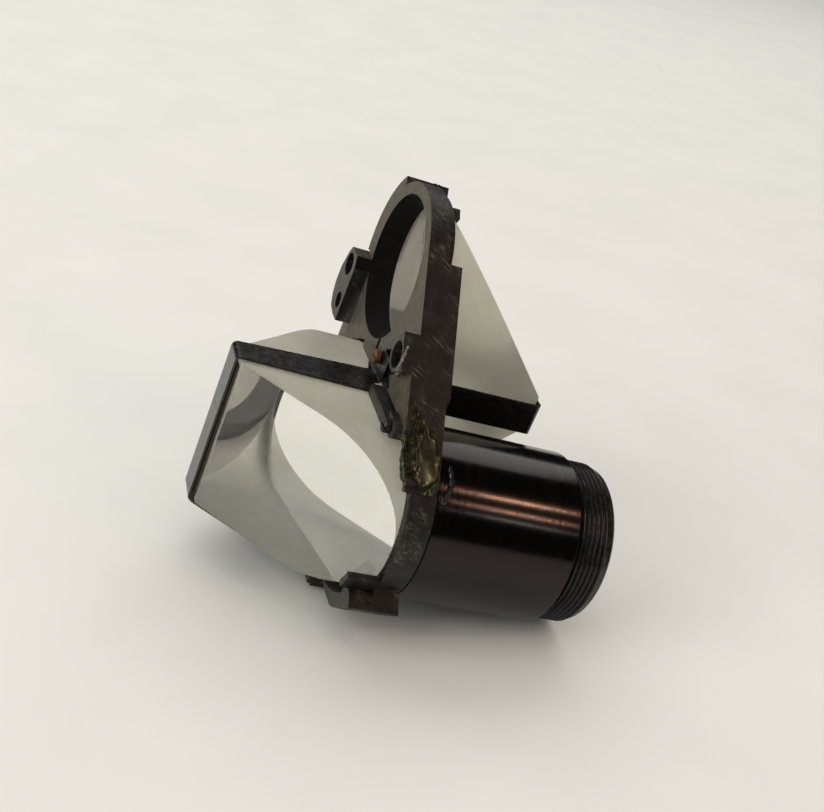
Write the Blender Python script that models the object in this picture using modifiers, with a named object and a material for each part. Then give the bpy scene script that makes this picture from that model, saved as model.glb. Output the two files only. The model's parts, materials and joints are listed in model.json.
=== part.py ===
"""Porro prism erecting assembly: two right-angle prisms on a cast frame, with a threaded eyepiece tube.

Everything is modelled in the optical frame: the origin is where the tube's axis meets the frame's front face,
+Z runs along the tube, +X from the lower aperture to the middle one, and +Y from the middle aperture to the
upper one. An empty, assembly, then lays the whole object down on the three points that it stands on.
"""

import math

import bmesh
import bpy
from mathutils import Matrix, Vector

MM = 0.001

# Fit between pieces that touch
GAP = 0.28 * MM

# Prisms: right angles, with rounded ends struck from the apertures' centres
PRISM_WIDTH = 31.0 * MM
APEX_CUT = 3.7 * MM
REAR_PRISM_TRIM = 1.05 * MM
FRONT_SEAT = 1.1 * MM
REAR_SEAT = 5.8 * MM

# Cast frame
RING_WALL = 1.8 * MM
LOWER_RING_WALL = 1.35 * MM
APERTURE_RADIUS = 14.75 * MM
RING_BACK = 4.2 * MM
LOWER_RIM = 1.45 * MM
LOWER_BACK = 6.4 * MM
RIB_BACK = 7.1 * MM
RIB_THICKNESS = 2.6 * MM
SEAT_LAND = 0.5 * MM
EAR_WALL = 3.5 * MM
EAR_BACK = 9.2 * MM
EAR_FROM = -13.0
EAR_TO = 52.0
FINGER_WALL = 2.4 * MM
FINGER_BACK = 14.4 * MM
FINGER_AT = 31.5
FINGER_SPAN = 10.0

# Bosses on the frame
FAR_BOSS_FRONT = 3.3 * MM
FAR_BOSS_HOLE = 2.45 * MM
FAR_BOSS_SMALL_HOLE = 1.75 * MM
FAR_BOSS_HOLE_DEPTH = 6.5 * MM
WALL_BOSS_FRONT = 3.1 * MM
WALL_BOSS_LENGTH = 7.8 * MM
WALL_BOSS_RIM = 0.75 * MM
WALL_BOSS_HOLE = 2.6 * MM
WALL_BOSS_HOLE_DEPTH = 5.0 * MM
WALL_LAND_FRONT = 1.0 * MM
LUG_FRONT = 3.2 * MM
LUG_BACK = 6.5 * MM
LUG_CLEARANCE = 0.7 * MM
LUG_SCOOP = 1.9 * MM
LUG_DEPTH = 4.64 * MM
POST_FRONT = 4.7 * MM
RIB_FRONT = 3.2 * MM
RIB_WIDTH = 2.1 * MM
RIB_PAD_FRONT = 2.6 * MM
RECESS_DEPTH = 1.0 * MM
PILLAR_FRONT = 3.9 * MM
PILLAR_REACH = 5.7 * MM
PILLAR_WIDTH = 6.7 * MM
PILLAR_FROM_ARM_EDGE = 2.7 * MM

# Straps
STRAP_SHEET = 0.45 * MM
STRAP_BEND = 0.9 * MM
STRAP_PAD = 0.3 * MM
FRONT_STRAP_WIDTH = 6.4 * MM
FRONT_STRAP_FOOT_WIDTH = 9.8 * MM
FRONT_STRAP_SHIFT = 1.0 * MM
REAR_STRAP_WIDTH = 6.7 * MM
REAR_STRAP_SHIFT = -1.3 * MM
WIDE_ARM_WIDTH = 25.1 * MM
WIDE_ARM_TOP_INSET = 0.45 * MM
WIDE_ARM_LOW_INSET = 1.3 * MM
FOOT_LENGTH = 5.2 * MM
UPPER_FOOT_REACH = 3.6 * MM

# Eyepiece tube
TUBE_RADIUS = 16.85 * MM
TUBE_BORE = 14.0 * MM
TUBE_SHOULDER = 35.8 * MM
TUBE_END = 44.4 * MM
TUBE_TO_REAR_PRISM = 1.75 * MM
SPIGOT_RADIUS = 15.1 * MM
SPIGOT_LENGTH = 3.2 * MM
THREAD_RADIUS = 15.875 * MM
THREAD_PITCH = 1.058 * MM
THREAD_DEPTH = 0.6 * MM
THREAD_RELIEF = 0.35 * MM
TUBE_CHAMFER = 0.5 * MM

# Light stop
STOP_THICKNESS = 1.0 * MM
GLARE_STOP_HOLE = 11.5 * MM
GLARE_STOP_AT = 22.0 * MM

# Screws
HEAD_RADIUS = 1.4 * MM
HEAD_HEIGHT = 1.1 * MM
SHANK_RADIUS = 0.85 * MM
SHANK_LENGTH = 3.0 * MM
SHANK_CLEARANCE = 0.1 * MM
SLOT_WIDTH = 0.5 * MM
SLOT_DEPTH = 0.5 * MM
SET_SCREW_RADIUS = 1.15 * MM
SET_SCREW_CLEARANCE = 0.06 * MM
EAR_SCREW_PROUD = 0.5 * MM
LUG_SCREW_PROUD = 0.1 * MM

# Worked out from the sizes above
HALF_WIDTH = PRISM_WIDTH / 2
AXIS_STEP = HALF_WIDTH + TUBE_TO_REAR_PRISM + TUBE_RADIUS
POCKET_RADIUS = HALF_WIDTH + GAP
RING_RADIUS = HALF_WIDTH + RING_WALL
LOWER_RING_RADIUS = HALF_WIDTH + LOWER_RING_WALL
EAR_RADIUS = POCKET_RADIUS + EAR_WALL
MIDDLE = AXIS_STEP / 2
LOWER = (0.0, 0.0)
CORNER = (AXIS_STEP, 0.0)
UPPER = (AXIS_STEP, AXIS_STEP)
FRONT_PRISM_HEIGHT = MIDDLE + HALF_WIDTH
REAR_PRISM_HEIGHT = FRONT_PRISM_HEIGHT - REAR_PRISM_TRIM
FRONT_APEX = FRONT_SEAT - FRONT_PRISM_HEIGHT
REAR_APEX = REAR_SEAT + REAR_PRISM_HEIGHT
ARM_INNER = HALF_WIDTH + GAP
ARM_OUTER = ARM_INNER + STRAP_SHEET
BRIDGE_STACK = GAP + STRAP_PAD + GAP
FRONT_BRIDGE = FRONT_APEX + APEX_CUT - BRIDGE_STACK
REAR_BRIDGE = REAR_APEX - APEX_CUT + BRIDGE_STACK
FRONT_STRAP_X = MIDDLE + FRONT_STRAP_SHIFT
REAR_STRAP_Y = MIDDLE + REAR_STRAP_SHIFT
DIAGONAL = Vector((1.0, 1.0, 0.0)).normalized()
OUTWARD = Vector((-1.0, 1.0, 0.0)).normalized()
FAR = 60 * MM

PLANES = {
    "XY": Matrix.Identity(4),
    "YZ": Matrix(((0, 0, 1, 0), (1, 0, 0, 0), (0, 1, 0, 0), (0, 0, 0, 1))),
    "XZ": Matrix(((1, 0, 0, 0), (0, 0, -1, 0), (0, 1, 0, 0), (0, 0, 0, 1))),
}


def clear_scene():
    for obj in list(bpy.data.objects):
        bpy.data.objects.remove(obj, do_unlink=True)


def new_collection(name, hidden):
    collection = bpy.data.collections.new(name)
    collection.hide_render = hidden
    bpy.context.scene.collection.children.link(collection)
    return collection


clear_scene()
PARTS = new_collection("porro_erector", False)
CUTTERS = new_collection("cutters", True)
ASSEMBLY = bpy.data.objects.new("assembly", None)
PARTS.objects.link(ASSEMBLY)


# Outlines in a plane, as lists of 2-D points


def arc(centre, radius, start, end, steps=24):
    points = []
    for i in range(steps + 1):
        angle = math.radians(start + (end - start) * i / steps)
        points.append((centre[0] + radius * math.cos(angle), centre[1] + radius * math.sin(angle)))
    return points


def circle(centre, radius, steps=48):
    return arc(centre, radius, 0, 360, steps)[:-1]


def slot_outline(a, b, radius, steps=24):
    """A stadium: two half circles about a and b, joined by their tangents."""
    turn = math.degrees(math.atan2(b[1] - a[1], b[0] - a[0]))
    return arc(a, radius, turn + 90, turn + 270, steps) + arc(b, radius, turn - 90, turn + 90, steps)


def sector(centre, inner, outer, start, end, steps=12):
    return arc(centre, outer, start, end, steps) + arc(centre, inner, end, start, steps)


def rectangle(x0, y0, x1, y1):
    return [(x0, y0), (x1, y0), (x1, y1), (x0, y1)]


def rounded_corner(points, radius, steps=4):
    """A polyline with each inner corner turned into an arc."""
    path = [Vector(points[0])]
    for before, corner, after in zip(points, points[1:], points[2:]):
        corner = Vector(corner)
        back = (Vector(before) - corner).normalized()
        ahead = (Vector(after) - corner).normalized()
        half = back.angle(ahead) / 2
        reach = radius / math.tan(half)
        centre = corner + (back + ahead).normalized() * radius / math.sin(half)
        first = corner + back * reach - centre
        last = corner + ahead * reach - centre
        turn = first.angle_signed(last)
        for i in range(steps + 1):
            step = first.copy()
            step.rotate(Matrix.Rotation(-turn * i / steps, 2))
            path.append(centre + step)
    path.append(Vector(points[-1]))
    return [tuple(p) for p in path]


# Solids


def link(obj, collection):
    collection.objects.link(obj)
    obj.parent = ASSEMBLY
    if collection is CUTTERS:
        obj.hide_render = True
        obj.display_type = "WIRE"
    return obj


def weld(mesh):
    body = bmesh.new()
    body.from_mesh(mesh)
    bmesh.ops.remove_doubles(body, verts=body.verts, dist=0.001 * MM)
    bmesh.ops.recalc_face_normals(body, faces=body.faces)
    body.to_mesh(mesh)
    body.free()


def settle(obj, smooth=True):
    """Turns the object's modifiers into its mesh, and smooths it except at its sharp edges."""
    graph = bpy.context.evaluated_depsgraph_get()
    mesh = bpy.data.meshes.new_from_object(obj.evaluated_get(graph))
    obj.modifiers.clear()
    obj.data = mesh
    weld(mesh)
    if smooth:
        mesh.shade_smooth()
        mesh.set_sharp_from_angle(angle=math.radians(28))
    return obj


def extruded(name, outline, low, high, plane="XY", collection=None):
    """A flat outline as a solid from low to high along its plane's normal."""
    curve = bpy.data.curves.new(name, "CURVE")
    curve.dimensions = "2D"
    curve.fill_mode = "BOTH"
    curve.extrude = (high - low) / 2 / MM
    spline = curve.splines.new("POLY")
    spline.points.add(len(outline) - 1)
    for point, (x, y) in zip(spline.points, outline):
        point.co = (x / MM, y / MM, 0, 1)
    spline.use_cyclic_u = True
    sketch = bpy.data.objects.new(name, curve)
    mesh = bpy.data.meshes.new_from_object(sketch)
    bpy.data.objects.remove(sketch)
    if plane == "XZ":
        low, high = -high, -low
    for vertex in mesh.vertices:
        x, y, z = vertex.co
        vertex.co = (x * MM, y * MM, high if z > 0 else low)
    mesh.transform(PLANES[plane])
    weld(mesh)
    return link(bpy.data.objects.new(name, mesh), collection or PARTS)


def turned(name, profile, steps=48, collection=None):
    """A profile of (radius, height) points, turned about Z."""
    mesh = bpy.data.meshes.new(name)
    mesh.from_pydata([(r, 0, z) for r, z in profile], [(i, i + 1) for i in range(len(profile) - 1)], [])
    obj = link(bpy.data.objects.new(name, mesh), collection or PARTS)
    screw = obj.modifiers.new("Turn", "SCREW")
    screw.steps = steps
    screw.render_steps = steps
    screw.use_merge_vertices = True
    screw.merge_threshold = 0.01 * MM
    return settle(obj)


def sheet(name, path, low, high, plane):
    """A bent strip: an open path swept along its plane's normal, thickened towards its inner side."""
    body = bmesh.new()
    ends = [body.verts.new((x, y, low)) for x, y in path]
    for a, b in zip(ends, ends[1:]):
        body.edges.new((a, b))
    swept = bmesh.ops.extrude_edge_only(body, edges=body.edges[:])
    tops = [item for item in swept["geom"] if isinstance(item, bmesh.types.BMVert)]
    bmesh.ops.translate(body, verts=tops, vec=(0, 0, high - low))
    bmesh.ops.recalc_face_normals(body, faces=body.faces)
    mesh = bpy.data.meshes.new(name)
    body.to_mesh(mesh)
    body.free()
    mesh.transform(PLANES[plane])
    obj = link(bpy.data.objects.new(name, mesh), PARTS)
    shell = obj.modifiers.new("Sheet", "SOLIDIFY")
    shell.thickness = STRAP_SHEET
    shell.offset = 0.0
    shell.use_even_offset = True
    return settle(obj)


def combine(target, others, operation):
    """One Boolean of the target with all the others together.

    The solver is MANIFOLD because EXACT leaves open edges where the frame's blocks share a plane.
    """
    group = bpy.data.collections.new(target.name + "_" + operation.lower())
    CUTTERS.children.link(group)
    for other in others:
        CUTTERS.objects.unlink(other)
        group.objects.link(other)
    step = target.modifiers.new(operation.title(), "BOOLEAN")
    step.operation = operation
    step.solver = "MANIFOLD"
    step.operand_type = "COLLECTION"
    step.collection = group
    return settle(target)


def cut(target, *others):
    return combine(target, others, "DIFFERENCE")


def join(target, *others):
    return combine(target, others, "UNION")


def keep(target, *others):
    return combine(target, others, "INTERSECT")


def cutter(name, outline, low, high, plane="XY"):
    return extruded(name, outline, low, high, plane, CUTTERS)


def placed(obj, point, direction=(0, 0, 1)):
    """Moves an object made along Z to point, with its Z along direction."""
    turn = Vector(direction).to_track_quat("Z", "Y").to_matrix().to_4x4()
    obj.matrix_local = Matrix.Translation(point) @ turn
    bpy.context.view_layer.update()
    return obj


def round_cutter(name, radius, point, direction, length, steps=24):
    """A cylinder from point along direction."""
    obj = turned(name, [(0, length), (radius, length), (radius, 0), (0, 0)], steps, CUTTERS)
    return placed(obj, point, direction)


def coloured(obj, colour, roughness, metallic=0.0):
    material = bpy.data.materials.new(obj.name)
    material.use_nodes = True
    shader = material.node_tree.nodes["Principled BSDF"]
    shader.inputs["Base Color"].default_value = (*colour, 1.0)
    shader.inputs["Roughness"].default_value = roughness
    shader.inputs["Metallic"].default_value = metallic
    material.diffuse_color = (*colour, 1.0)
    obj.data.materials.clear()
    obj.data.materials.append(material)
    return obj


# Where the screws go, each a point on the face it enters and the direction its head faces

UPPER_FOOT_SCREW = (FRONT_STRAP_X + FRONT_STRAP_FOOT_WIDTH / 2 + 0.2 * MM, ARM_OUTER + FOOT_LENGTH * 0.55)
PILLAR_EDGE = MIDDLE - WIDE_ARM_WIDTH / 2 - PILLAR_FROM_ARM_EDGE
PILLAR_X = PILLAR_EDGE + PILLAR_WIDTH / 2
PILLAR_SCREW_Y = -(ARM_OUTER + FOOT_LENGTH * 0.55)
REAR_FOOT_REACH = ARM_OUTER + FOOT_LENGTH * 0.55
WALL_BOSS_CENTRE = (7.0 * MM, 2.94 * MM + RING_RADIUS * math.sqrt(2))
FAR_BOSS_CENTRE = (AXIS_STEP + RING_RADIUS - 0.1 * MM, AXIS_STEP - 8.0 * MM)
FAR_BOSS_SMALL_CENTRE = (AXIS_STEP + RING_RADIUS - 1.5 * MM, AXIS_STEP - 15.9 * MM)
RIB_SCREW = (-1.8 * MM, POCKET_RADIUS + HEAD_RADIUS + 0.1 * MM)
EAR_SCREW_ANGLE = 47.0
EAR_SCREW_Z = 7.0 * MM
LUG_SCREW_ANGLE = -128.0
LUG_SCREW_Z = -1.4 * MM


def radial(angle):
    return Vector((math.cos(math.radians(angle)), math.sin(math.radians(angle)), 0))


def from_ring(angle, out):
    """A point at an angle about the lower aperture, out mm outside the prism's round end."""
    return tuple((radial(angle) * (HALF_WIDTH + out * MM)).xy)


def screw_hole(name, point, direction):
    """The hole for a screw's shank, from its seat inwards."""
    start = Vector(point) + Vector(direction) * MM
    return round_cutter(
        name, SHANK_RADIUS + SHANK_CLEARANCE, start, -Vector(direction), SHANK_LENGTH + 1.4 * MM
    )


def seats():
    """Name, the point under the head, and the direction the head faces."""
    upper = (*UPPER_FOOT_SCREW, RECESS_DEPTH - GAP - STRAP_SHEET - GAP)
    near = (PILLAR_X, PILLAR_SCREW_Y, -PILLAR_FRONT - GAP - STRAP_SHEET - GAP)
    far = (AXIS_STEP - PILLAR_X, PILLAR_SCREW_Y, near[2])
    back = LOWER_BACK + GAP + STRAP_SHEET + GAP
    return [
        ("front_strap_screw_upper", upper, (0, 0, -1)),
        ("front_strap_screw_near", near, (0, 0, -1)),
        ("front_strap_screw_far", far, (0, 0, -1)),
        ("rear_strap_screw_near", (AXIS_STEP - REAR_FOOT_REACH, REAR_STRAP_Y, back), (0, 0, 1)),
        ("rear_strap_screw_far", (AXIS_STEP + REAR_FOOT_REACH, REAR_STRAP_Y, back), (0, 0, 1)),
        ("rib_screw", (*RIB_SCREW, -RIB_PAD_FRONT - GAP), (0, 0, -1)),
        ("boss_screw", (*FAR_BOSS_CENTRE, FAR_BOSS_HOLE_DEPTH - FAR_BOSS_FRONT - GAP), (0, 0, -1)),
    ]


def make_frame():
    tangent_low = OUTWARD * RING_RADIUS
    tangent_high = Vector((*UPPER, 0)) + OUTWARD * RING_RADIUS
    edge = AXIS_STEP + RING_RADIUS
    web = [tuple(tangent_low.xy), (0.0, -RING_RADIUS), (AXIS_STEP, -RING_RADIUS), (edge, 0.0)]
    web += [(edge, AXIS_STEP), tuple(tangent_high.xy)]
    frame = extruded("prism_plate", web, 0, RING_BACK)
    lower_back = [(0, -RING_RADIUS), (AXIS_STEP - POCKET_RADIUS, -RING_RADIUS)]
    lower_back += [(AXIS_STEP - POCKET_RADIUS, AXIS_STEP + 8.0 * MM), tuple(tangent_low.xy)]
    rib_start = AXIS_STEP - POCKET_RADIUS
    rib_top = rib_start + RING_RADIUS * math.sqrt(2)
    inner = RIB_THICKNESS * math.sqrt(2)
    rib = [(rib_start, rib_top), (0.0, rib_top - rib_start), (0.0, rib_top - rib_start - inner)]
    rib += [(rib_start, rib_top - inner)]
    boss = [(1.6, -4.7), (-4.4, -4.7), (-4.4, -19.5), (-1.1, -19.5), (2.1, -18.8), (3.7, -16.9)]
    boss += [(4.6, -14.2), (4.5, -10.5), (2.7, -6.1)]
    boss = [(edge + x * MM, AXIS_STEP + y * MM) for x, y in boss]
    wall_start = 7.5 * MM
    wall = RING_RADIUS * math.sqrt(2)
    along = WALL_BOSS_LENGTH / math.sqrt(2)
    wall_boss = [(wall_start, wall_start + wall), (wall_start - along, wall_start - along + wall)]
    wall_boss += arc(WALL_BOSS_CENTRE, WALL_BOSS_HOLE + WALL_BOSS_RIM, -135, 45, 16)
    land = [(12.2, 5.0), (10.8, 3.0), (0.7, 3.0), (-2.5, 1.1), (-4.4, 1.0)]
    land = [(x * MM, HALF_WIDTH + y * MM) for x, y in land]
    land += [(-6.9 * MM, wall - 6.9 * MM), (2.5 * MM, wall + 2.5 * MM)]
    corners = [(-93.2, 2.33), (-101.2, 3.05), (-116.7, 4.54), (-122.7, 4.69), (-144.8, 5.67), (-146.2, 5.55)]
    corners = [from_ring(angle, out) for angle, out in corners + [(-146.5, 2.97)]]
    lug = corners + arc(LOWER, HALF_WIDTH + LUG_CLEARANCE, -147, -94, 10)
    scooped = corners + arc(LOWER, HALF_WIDTH + LUG_SCOOP, -145, -95, 10)
    rib_low = POCKET_RADIUS
    rib_end = FRONT_STRAP_X - FRONT_STRAP_FOOT_WIDTH / 2 - GAP
    guide = rectangle(0.4 * MM, rib_low, rib_end, rib_low + RIB_WIDTH)
    pad_x, pad_y = RIB_SCREW
    pad = HEAD_RADIUS + 0.3 * MM
    guide_pad = [(pad_x + pad + MM, rib_low), (pad_x + pad + MM, pad_y + pad), (pad_x - pad, pad_y + pad)]
    guide_pad += [(pad_x - pad - 1.2 * MM, pad_y + 0.6 * MM), (pad_x - pad - 1.2 * MM, pad_y - 0.4 * MM)]
    guide_pad += [(pad_x - pad, rib_low)]
    far_foot = AXIS_STEP + ARM_OUTER
    foot_half = REAR_STRAP_WIDTH / 2
    foot_block = rectangle(far_foot - 3 * MM, REAR_STRAP_Y - foot_half, far_foot + FOOT_LENGTH, REAR_STRAP_Y + foot_half)
    pillar_top = -(ARM_INNER + STRAP_BEND)
    near_pillar = rectangle(PILLAR_EDGE, -ARM_OUTER - PILLAR_REACH, PILLAR_EDGE + PILLAR_WIDTH, pillar_top)
    far_edge = AXIS_STEP - PILLAR_EDGE
    far_pillar = rectangle(far_edge - PILLAR_WIDTH, -ARM_OUTER - PILLAR_REACH, far_edge, pillar_top)
    join(
        frame,
        cutter("lower_ring", circle(LOWER, LOWER_RING_RADIUS, 60), 0, LOWER_BACK),
        cutter("corner_ring", circle(CORNER, RING_RADIUS, 60), 0, LOWER_BACK),
        cutter("upper_ring", circle(UPPER, RING_RADIUS, 60), 0, RING_BACK),
        cutter("lower_slab", lower_back, RING_BACK / 2, LOWER_BACK),
        cutter("back_rib", rib, RING_BACK / 2, RIB_BACK),
        cutter("rear_land", slot_outline(CORNER, UPPER, POCKET_RADIUS + SEAT_LAND), RING_BACK / 2, REAR_SEAT - GAP),
        cutter("ear", sector(UPPER, POCKET_RADIUS - 2 * MM, EAR_RADIUS, EAR_FROM, EAR_TO), 0, EAR_BACK),
        cutter("far_boss", boss, -FAR_BOSS_FRONT, LOWER_BACK),
        cutter("far_foot_block", foot_block, RING_BACK / 2, LOWER_BACK),
        cutter("wall_boss", wall_boss, -WALL_BOSS_FRONT, RING_BACK / 2),
        cutter("wall_land", land, -WALL_LAND_FRONT, RING_BACK / 2),
        cutter("guide_rib", guide, -RIB_FRONT, RING_BACK / 2),
        cutter("guide_pad", guide_pad, -RIB_PAD_FRONT, RING_BACK / 2),
        cutter("near_pillar", near_pillar, -PILLAR_FRONT, RING_BACK),
        cutter("far_pillar", far_pillar, -PILLAR_FRONT, RING_BACK),
        cutter("bottom_lug", scooped, -LUG_FRONT, LOWER_BACK / 2),
        cutter("bottom_lug_base", lug, LOWER_RIM, LUG_BACK),
    )
    lower_spot = cutter("lower_spot", lower_front_outline(), -FAR, LOWER_RIM)
    finger_from = FINGER_AT - FINGER_SPAN / 2
    finger_to = FINGER_AT + FINGER_SPAN / 2
    finger = sector(UPPER, POCKET_RADIUS, POCKET_RADIUS + FINGER_WALL, finger_from, finger_to, 4)
    post = sector(LOWER, POCKET_RADIUS, POCKET_RADIUS + 1.3 * MM, -157, -143, 4)
    recess = [(3.95, 6.5), (-0.85, 8.8), (-7.75, 3.7), (-4.45, 2.1), (-4.15, -1.5), (3.95, -1.5)]
    recess = [(MIDDLE + x * MM, HALF_WIDTH + y * MM) for x, y in recess]
    foot_left, foot_right = upper_foot_sides()
    foot_end = ARM_OUTER + FOOT_LENGTH + GAP
    foot_seat = rectangle(foot_left - GAP, HALF_WIDTH - 1.5 * MM, foot_right + GAP, foot_end)
    notch = [(AXIS_STEP + x * MM, HALF_WIDTH + y * MM) for x, y in [(4.9, -0.3), (0, 1.9), (-0.2, -0.3)]]
    groove = rectangle(0.4 * MM, rib_low + RIB_WIDTH, rib_end, rib_low + RIB_WIDTH + 0.7 * MM)
    bore = APERTURE_RADIUS - 0.75 * MM
    cut(
        frame,
        lower_spot,
        cutter("front_pocket", slot_outline(LOWER, CORNER, POCKET_RADIUS), -FAR, FRONT_SEAT + GAP),
        cutter("rear_pocket", slot_outline(CORNER, UPPER, POCKET_RADIUS), REAR_SEAT - GAP, FAR),
        cutter("upper_aperture", circle(UPPER, APERTURE_RADIUS), -FAR, FAR),
        cutter("corner_aperture", circle(CORNER, APERTURE_RADIUS), -FAR, FAR),
        cutter("lower_aperture", circle(LOWER, bore), -FAR, FAR),
        cutter("spigot_bore", circle(LOWER, SPIGOT_RADIUS + GAP), LOWER_BACK - SPIGOT_LENGTH - GAP, FAR),
        cutter("tube_room", circle(LOWER, TUBE_RADIUS + GAP, 60), LOWER_BACK, FAR),
        cutter("dark_recess", recess, -MM, RECESS_DEPTH),
        cutter("foot_seat", foot_seat, -MM, RECESS_DEPTH),
        cutter("corner_notch", notch, -MM, 1.2 * MM),
        cutter("rib_groove", groove, -3 * MM, 1.2 * MM),
        round_cutter("far_hole", FAR_BOSS_HOLE, (*FAR_BOSS_CENTRE, -FAR_BOSS_FRONT - MM), (0, 0, 1), FAR_BOSS_HOLE_DEPTH + MM),
        round_cutter(
            "far_small_hole", FAR_BOSS_SMALL_HOLE, (*FAR_BOSS_SMALL_CENTRE, -FAR_BOSS_FRONT - MM), (0, 0, 1),
            FAR_BOSS_HOLE_DEPTH + MM,
        ),
        round_cutter(
            "wall_hole", WALL_BOSS_HOLE, (*WALL_BOSS_CENTRE, -WALL_BOSS_FRONT - MM), (0, 0, 1),
            WALL_BOSS_HOLE_DEPTH + MM,
        ),
        *[screw_hole(name + "_hole", point, way) for name, point, way in seats()],
    )
    join(
        frame,
        cutter("finger", finger, EAR_BACK - 3 * MM, FINGER_BACK),
        cutter("post", post, -POST_FRONT, LOWER_RIM + 2 * MM),
    )
    for name, centre, angle, height in (
        ("ear_screw_hole", UPPER, EAR_SCREW_ANGLE, EAR_SCREW_Z),
        ("lug_screw_hole", LOWER, LUG_SCREW_ANGLE, LUG_SCREW_Z),
    ):
        start = Vector((*centre, height)) + radial(angle) * (HALF_WIDTH - MM)
        hole = round_cutter(name, SET_SCREW_RADIUS + SET_SCREW_CLEARANCE, start, radial(angle), 12 * MM)
        cut(frame, hole)
    coloured(frame, (0.045, 0.042, 0.034), 0.55, 0.35)


def upper_foot_sides():
    """The upper foot runs from the strap's middle line to past its far edge."""
    left = FRONT_STRAP_X - 0.1 * MM
    return left, FRONT_STRAP_X + FRONT_STRAP_FOOT_WIDTH / 2 + UPPER_FOOT_REACH


def lower_front_outline():
    """The area round the lower ring's outer half that sits back at the ring's rim."""
    far = RING_RADIUS + 2 * MM
    outline = arc(LOWER, far, 139, 210, 16)
    return outline + arc(LOWER, HALF_WIDTH - 2.4 * MM, 210, 139, 16)


def make_prism(name, seat, height, point, plane, stadium):
    """A right-angle prism: its section across the long side, trimmed to round ends and a flat apex."""
    way = 1 if point > seat else -1
    flat = point - way * APEX_CUT
    section = [(MIDDLE - height, seat), (MIDDLE + height, seat)]
    section += [(MIDDLE + APEX_CUT, flat), (MIDDLE - APEX_CUT, flat)]
    low, high = (-HALF_WIDTH, HALF_WIDTH) if plane == "XZ" else (AXIS_STEP - HALF_WIDTH, AXIS_STEP + HALF_WIDTH)
    prism = extruded(name, section, low, high, plane)
    keep(prism, cutter(name + "_ends", stadium, -FAR, FAR))
    coloured(prism, (0.86, 0.86, 0.80), 0.08)
    return prism


def make_front_strap():
    foot = ARM_OUTER + FOOT_LENGTH
    upper = RECESS_DEPTH - GAP - STRAP_SHEET / 2
    lower = -PILLAR_FRONT - GAP - STRAP_SHEET / 2
    arm = ARM_INNER + STRAP_SHEET / 2
    bridge = FRONT_BRIDGE - STRAP_SHEET / 2
    path = [(foot, upper), (arm, upper), (arm, bridge), (-arm, bridge), (-arm, lower), (-foot, lower)]
    strap = sheet("front_strap", rounded_corner(path, STRAP_BEND), PILLAR_EDGE - MM, AXIS_STEP - PILLAR_EDGE + MM, "YZ")
    top = bridge - MM
    half = FRONT_STRAP_WIDTH / 2
    wide = FRONT_STRAP_FOOT_WIDTH / 2
    x = FRONT_STRAP_X
    left, right = upper_foot_sides()
    narrow = [(x - half, top), (x - wide, -1.2 * MM), (left, -1.2 * MM), (left, 2 * MM)]
    narrow += [(right, 2 * MM), (right, -0.4 * MM)]
    narrow += [(x + wide, -1.2 * MM), (x + half, top)]
    shoulder = WIDE_ARM_WIDTH / 2
    down = FRONT_APEX + shoulder + WIDE_ARM_LOW_INSET * math.sqrt(2)
    start = FRONT_APEX + MIDDLE - (x - half) + WIDE_ARM_TOP_INSET * math.sqrt(2)
    arm_side = [(x - half, top), (x - half, start), (MIDDLE - shoulder, down)]
    arm_side += [(MIDDLE - shoulder, lower - 1.6 * MM), (PILLAR_EDGE, lower - 0.9 * MM), (PILLAR_EDGE, lower + MM)]
    arm_side += [(PILLAR_EDGE + PILLAR_WIDTH, lower + MM), (PILLAR_EDGE + PILLAR_WIDTH, lower - 1.6 * MM)]
    mirrored = [(AXIS_STEP - px, pz) for px, pz in reversed(arm_side[2:])]
    far_start = FRONT_APEX + (x + half) - MIDDLE + WIDE_ARM_TOP_INSET * math.sqrt(2)
    arm_side += mirrored + [(x + half, far_start), (x + half, top)]
    both = cutter("narrow_arm", narrow, 0, FAR, "XZ")
    join(both, cutter("wide_arm", arm_side, -FAR, 0, "XZ"))
    keep(strap, both)
    cut(strap, *[screw_hole(name + "_clear", p, way) for name, p, way in seats()[:3]])
    coloured(strap, (0.02, 0.018, 0.016), 0.3, 0.4)


def make_rear_strap():
    arm = ARM_INNER + STRAP_SHEET / 2
    foot = ARM_OUTER + FOOT_LENGTH
    level = LOWER_BACK + GAP + STRAP_SHEET / 2
    bridge = REAR_BRIDGE + STRAP_SHEET / 2
    path = [(AXIS_STEP - foot, level), (AXIS_STEP - arm, level), (AXIS_STEP - arm, bridge)]
    path += [(AXIS_STEP + arm, bridge), (AXIS_STEP + arm, level), (AXIS_STEP + foot, level)]
    low = REAR_STRAP_Y - REAR_STRAP_WIDTH / 2
    strap = sheet("rear_strap", rounded_corner(path, STRAP_BEND), -low - REAR_STRAP_WIDTH, -low, "XZ")
    cut(strap, *[screw_hole(name + "_clear", p, way) for name, p, way in seats()[3:5]])
    coloured(strap, (0.02, 0.018, 0.016), 0.3, 0.4)


def make_pads():
    half = FRONT_STRAP_WIDTH / 2 - 0.2 * MM
    front = FRONT_APEX + APEX_CUT - GAP
    outline = rectangle(MIDDLE - half, -HALF_WIDTH + MM, MIDDLE + half, HALF_WIDTH - MM)
    coloured(extruded("front_strap_pad", outline, front - STRAP_PAD, front), (0.20, 0.12, 0.06), 0.9)
    rear = REAR_APEX - APEX_CUT + GAP
    outline = rectangle(AXIS_STEP - HALF_WIDTH + MM, MIDDLE - half, AXIS_STEP + HALF_WIDTH - MM, MIDDLE + half)
    coloured(extruded("rear_strap_pad", outline, rear, rear + STRAP_PAD), (0.20, 0.12, 0.06), 0.9)


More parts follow.
